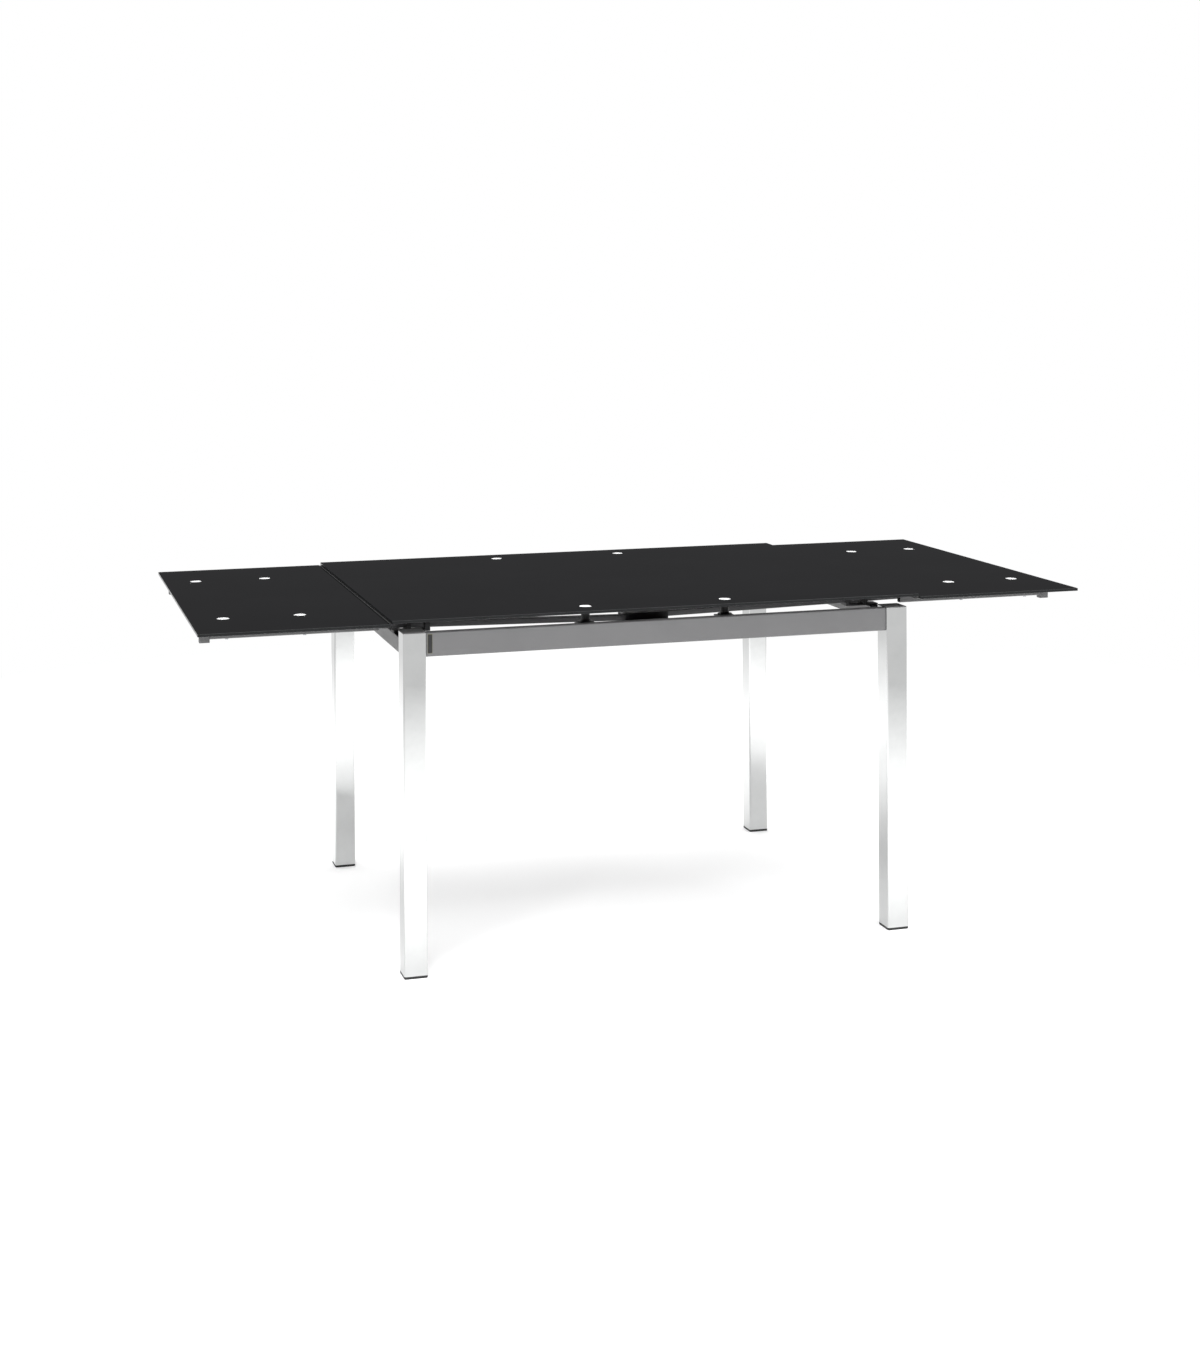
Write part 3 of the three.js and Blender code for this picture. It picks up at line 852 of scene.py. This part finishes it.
class TABLE_OT_fixings(bpy.types.Operator):
    """Make the screws under the rails, and those of the sleeve brackets"""
    bl_idname = "table.fixings"
    bl_label = "Screws"

    def execute(self, context):
        down = Matrix.Rotation(math.pi, 4, "X")
        for place, side, across in CORNERS:
            end = place.split("_")[1]
            rail_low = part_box(f"{place}_rail")[0].z
            rail_y = middle(f"{place}_rail").y
            for kind in ("outer", "inner"):
                x = middle(f"{end}_{kind}_crossbar").x
                self.add_screw(f"{place}_{kind}_rail_screw", (x, rail_y, rail_low - 0.1 * MM), down,
                               f"{end}_leaf")
            bracket_low, bracket_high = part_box(f"{place}_sleeve_bracket")
            tab_face = bracket_high.y - 4 * MM if across > 0 else bracket_low.y + 4 * MM
            for shift in (-12 * MM, 12 * MM):
                x = middle(f"{place}_sleeve_bracket").x + shift
                sideways = Vector((0, -across, 0)).to_track_quat("Z", "Y").to_matrix().to_4x4()
                label = "near" if shift * side < 0 else "far"
                self.add_screw(f"{place}_bracket_screw_{label}",
                               (x, tab_face - across * 0.1 * MM, bracket_low.z + 9 * MM), sideways, "frame")
        return {"FINISHED"}

    def add_screw(self, name, place, turn, body):
        bm = bmesh.new()
        head_radius, head_height = 3.6 * MM, 2.4 * MM
        add_bolt_head(bm, head_radius, head_height)
        finish_piece(name, bm, "runner_steel", body, finish="zinc_plate", place=place, turn=turn)


class TABLE_OT_label(bpy.types.Operator):
    """Make the small blank label on the front apron beside the left leg"""
    bl_idname = "table.label"
    bl_label = "Blank label"

    def execute(self, context):
        apron_low, apron_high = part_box("front_apron")
        width, height, thickness = 10 * MM, 40 * MM, 0.3 * MM
        x = apron_low.x + 8 * MM
        z = (apron_low.z + apron_high.z) / 2 + 2 * MM
        turn = Matrix.Rotation(math.pi / 2, 4, "X")
        for name, shrink, proud, finish in (("label_border", 0.0, 0.0, "label_edge"),
                                            ("label_field", 1.0 * MM, 0.15 * MM, "black_plastic")):
            bm = bmesh.new()
            outline = rounded_rectangle(width - shrink, height - shrink, 1 * MM)
            add_prism(bm, [outline], thickness, 0.05 * MM)
            finish_piece(name, bm, "black_plastic", "frame", finish=finish,
                         place=(x, apron_low.y - proud - 0.05 * MM, z), turn=turn)
        return {"FINISHED"}


# ---- Operator: the stage

def add_light(name, place, target, width, depth, power):
    data = bpy.data.lights.new(name, "AREA")
    data.shape = "RECTANGLE"
    data.size = width
    data.size_y = depth
    data.energy = power
    lamp = bpy.data.objects.new(name, data)
    bpy.context.scene.collection.objects.link(lamp)
    direction = Vector(target) - Vector(place)
    lamp.matrix_world = Matrix.Translation(place) @ direction.to_track_quat("-Z", "Y").to_matrix().to_4x4()
    return lamp


class TABLE_OT_stage(bpy.types.Operator):
    """Make the pale floor, the soft studio light and the camera"""
    bl_idname = "table.stage"
    bl_label = "Stage"

    def execute(self, context):
        self.make_floor()
        self.make_world()
        self.make_lights()
        self.make_camera()
        bpy.context.scene.view_settings.view_transform = "Standard"
        return {"FINISHED"}

    def make_floor(self):
        """Plain pale floor that fades to white away from the table and is see-through from below."""
        reach = 30.0
        fade_start = 1.6
        fade_end = 3.4
        mesh = bpy.data.meshes.new("floor")
        corners = [(-reach, -reach, 0), (reach, -reach, 0), (reach, reach, 0), (-reach, reach, 0)]
        mesh.from_pydata(corners, [], [(0, 1, 2, 3)])
        floor = bpy.data.objects.new("floor", mesh)
        bpy.context.scene.collection.objects.link(floor)
        made = bpy.data.materials.new("floor")
        made.use_nodes = True
        tree = made.node_tree
        tree.nodes.clear()
        out = tree.nodes.new("ShaderNodeOutputMaterial")
        pale = tree.nodes.new("ShaderNodeBsdfDiffuse")
        pale.inputs["Color"].default_value = (0.9, 0.9, 0.9, 1)
        lift = tree.nodes.new("ShaderNodeEmission")
        lift.inputs["Color"].default_value = (1, 1, 1, 1)
        lift.inputs["Strength"].default_value = 0.25
        lifted = tree.nodes.new("ShaderNodeAddShader")
        tree.links.new(pale.outputs["BSDF"], lifted.inputs[0])
        tree.links.new(lift.outputs["Emission"], lifted.inputs[1])
        far = tree.nodes.new("ShaderNodeEmission")
        far.inputs["Color"].default_value = (1, 1, 1, 1)
        coords = tree.nodes.new("ShaderNodeTexCoord").outputs["Object"]
        distance = tree.nodes.new("ShaderNodeVectorMath")
        distance.operation = "LENGTH"
        tree.links.new(coords, distance.inputs[0])
        faded = tree.nodes.new("ShaderNodeMixShader")
        fade = remap(tree, distance.outputs["Value"], fade_start, fade_end, 0.0, 1.0)
        tree.links.new(fade, faded.inputs["Fac"])
        tree.links.new(lifted.outputs["Shader"], faded.inputs[1])
        tree.links.new(far.outputs["Emission"], faded.inputs[2])
        one_sided = tree.nodes.new("ShaderNodeMixShader")
        tree.links.new(tree.nodes.new("ShaderNodeNewGeometry").outputs["Backfacing"], one_sided.inputs["Fac"])
        tree.links.new(faded.outputs["Shader"], one_sided.inputs[1])
        tree.links.new(tree.nodes.new("ShaderNodeBsdfTransparent").outputs["BSDF"], one_sided.inputs[2])
        tree.links.new(one_sided.outputs["Shader"], out.inputs["Surface"])
        mesh.materials.append(made)

    def make_world(self):
        """White where the camera sees it. For light it is dim near the horizon and bright overhead."""
        world = bpy.data.worlds.new("studio")
        bpy.context.scene.world = world
        world.use_nodes = True
        tree = world.node_tree
        tree.nodes.clear()
        out = tree.nodes.new("ShaderNodeOutputWorld")
        direction = tree.nodes.new("ShaderNodeTexCoord").outputs["Generated"]
        split = tree.nodes.new("ShaderNodeSeparateXYZ")
        tree.links.new(direction, split.inputs["Vector"])
        ramp = tree.nodes.new("ShaderNodeValToRGB")
        tree.links.new(split.outputs["Z"], ramp.inputs["Fac"])
        ramp.color_ramp.interpolation = "EASE"
        low, high = ramp.color_ramp.elements
        low.position = 0.36
        low.color = (0.060, 0.060, 0.062, 1)
        high.position = 0.7
        high.color = (1.0, 1.0, 1.0, 1)
        studio = tree.nodes.new("ShaderNodeBackground")
        tree.links.new(ramp.outputs["Color"], studio.inputs["Color"])
        backdrop = tree.nodes.new("ShaderNodeBackground")
        backdrop.inputs["Color"].default_value = (1, 1, 1, 1)
        mix = tree.nodes.new("ShaderNodeMixShader")
        tree.links.new(tree.nodes.new("ShaderNodeLightPath").outputs["Is Camera Ray"], mix.inputs["Fac"])
        tree.links.new(studio.outputs["Background"], mix.inputs[1])
        tree.links.new(backdrop.outputs["Background"], mix.inputs[2])
        tree.links.new(mix.outputs["Shader"], out.inputs["Surface"])

    def make_lights(self):
        add_light("key_light", (-2.5, -4.0, 4.0), (0, 0, 0.4), 3.0, 3.0, 240)
        add_light("fill_light", (3.5, -2.5, 3.5), (0, 0, 0.4), 3.0, 3.0, 130)
        add_light("top_light", (0, 0.5, 4.5), (0, 0, 0), 5.0, 4.0, 220)

    def make_camera(self):
        """Level camera whose lens shift keeps the legs upright in view."""
        eye = (-1.4306, -4.5427, 1.4638)
        heading = 0.2770
        tilt = 0.0047
        data = bpy.data.cameras.new("camera")
        data.lens = 52.69
        data.sensor_width = 36.0
        data.shift_x = 0.0401
        data.shift_y = -0.2986
        forward = Vector((math.sin(heading), math.cos(heading), 0))
        level = Vector((math.cos(heading), -math.sin(heading), 0))
        down = Vector((0, 0, -1))
        right = level * math.cos(tilt) + down * math.sin(tilt)
        up = right.cross(forward)
        camera = bpy.data.objects.new("camera", data)
        bpy.context.scene.collection.objects.link(camera)
        axes = Matrix((right, up, -forward)).transposed().to_4x4()
        camera.matrix_world = Matrix.Translation(eye) @ axes
        bpy.context.scene.camera = camera


# ---- Panel, registration and main

OPERATORS = (
    TABLE_OT_glass, TABLE_OT_discs, TABLE_OT_centre_pins, TABLE_OT_seals, TABLE_OT_washers, TABLE_OT_legs,
    TABLE_OT_leg_ends, TABLE_OT_aprons, TABLE_OT_carriages, TABLE_OT_guides, TABLE_OT_corner_plates,
    TABLE_OT_fixings, TABLE_OT_label, TABLE_OT_stage,
)


class TABLE_PT_pieces(bpy.types.Panel):
    """Lists the table's sizes, colours and operators"""
    bl_idname = "TABLE_PT_pieces"
    bl_label = "Extendable table"
    bl_space_type = "VIEW_3D"
    bl_region_type = "UI"
    bl_category = "Table"

    def draw(self, context):
        for group in (context.scene.table_sizes, context.scene.table_colours):
            box = self.layout.box()
            for name in group.__annotations__:
                box.prop(group, name)
        for operator in OPERATORS:
            self.layout.operator(operator.bl_idname)


CLASSES = (TableSizes, TableColours, *OPERATORS, TABLE_PT_pieces)


def register():
    for cls in CLASSES:
        bpy.utils.register_class(cls)
    bpy.types.Scene.table_sizes = bpy.props.PointerProperty(type=TableSizes)
    bpy.types.Scene.table_colours = bpy.props.PointerProperty(type=TableColours)


def unregister():
    del bpy.types.Scene.table_colours
    del bpy.types.Scene.table_sizes
    for cls in reversed(CLASSES):
        bpy.utils.unregister_class(cls)


def main():
    register()
    for operator in OPERATORS:
        group, name = operator.bl_idname.split(".")
        getattr(getattr(bpy.ops, group), name)()


if __name__ == "__main__":
    main()
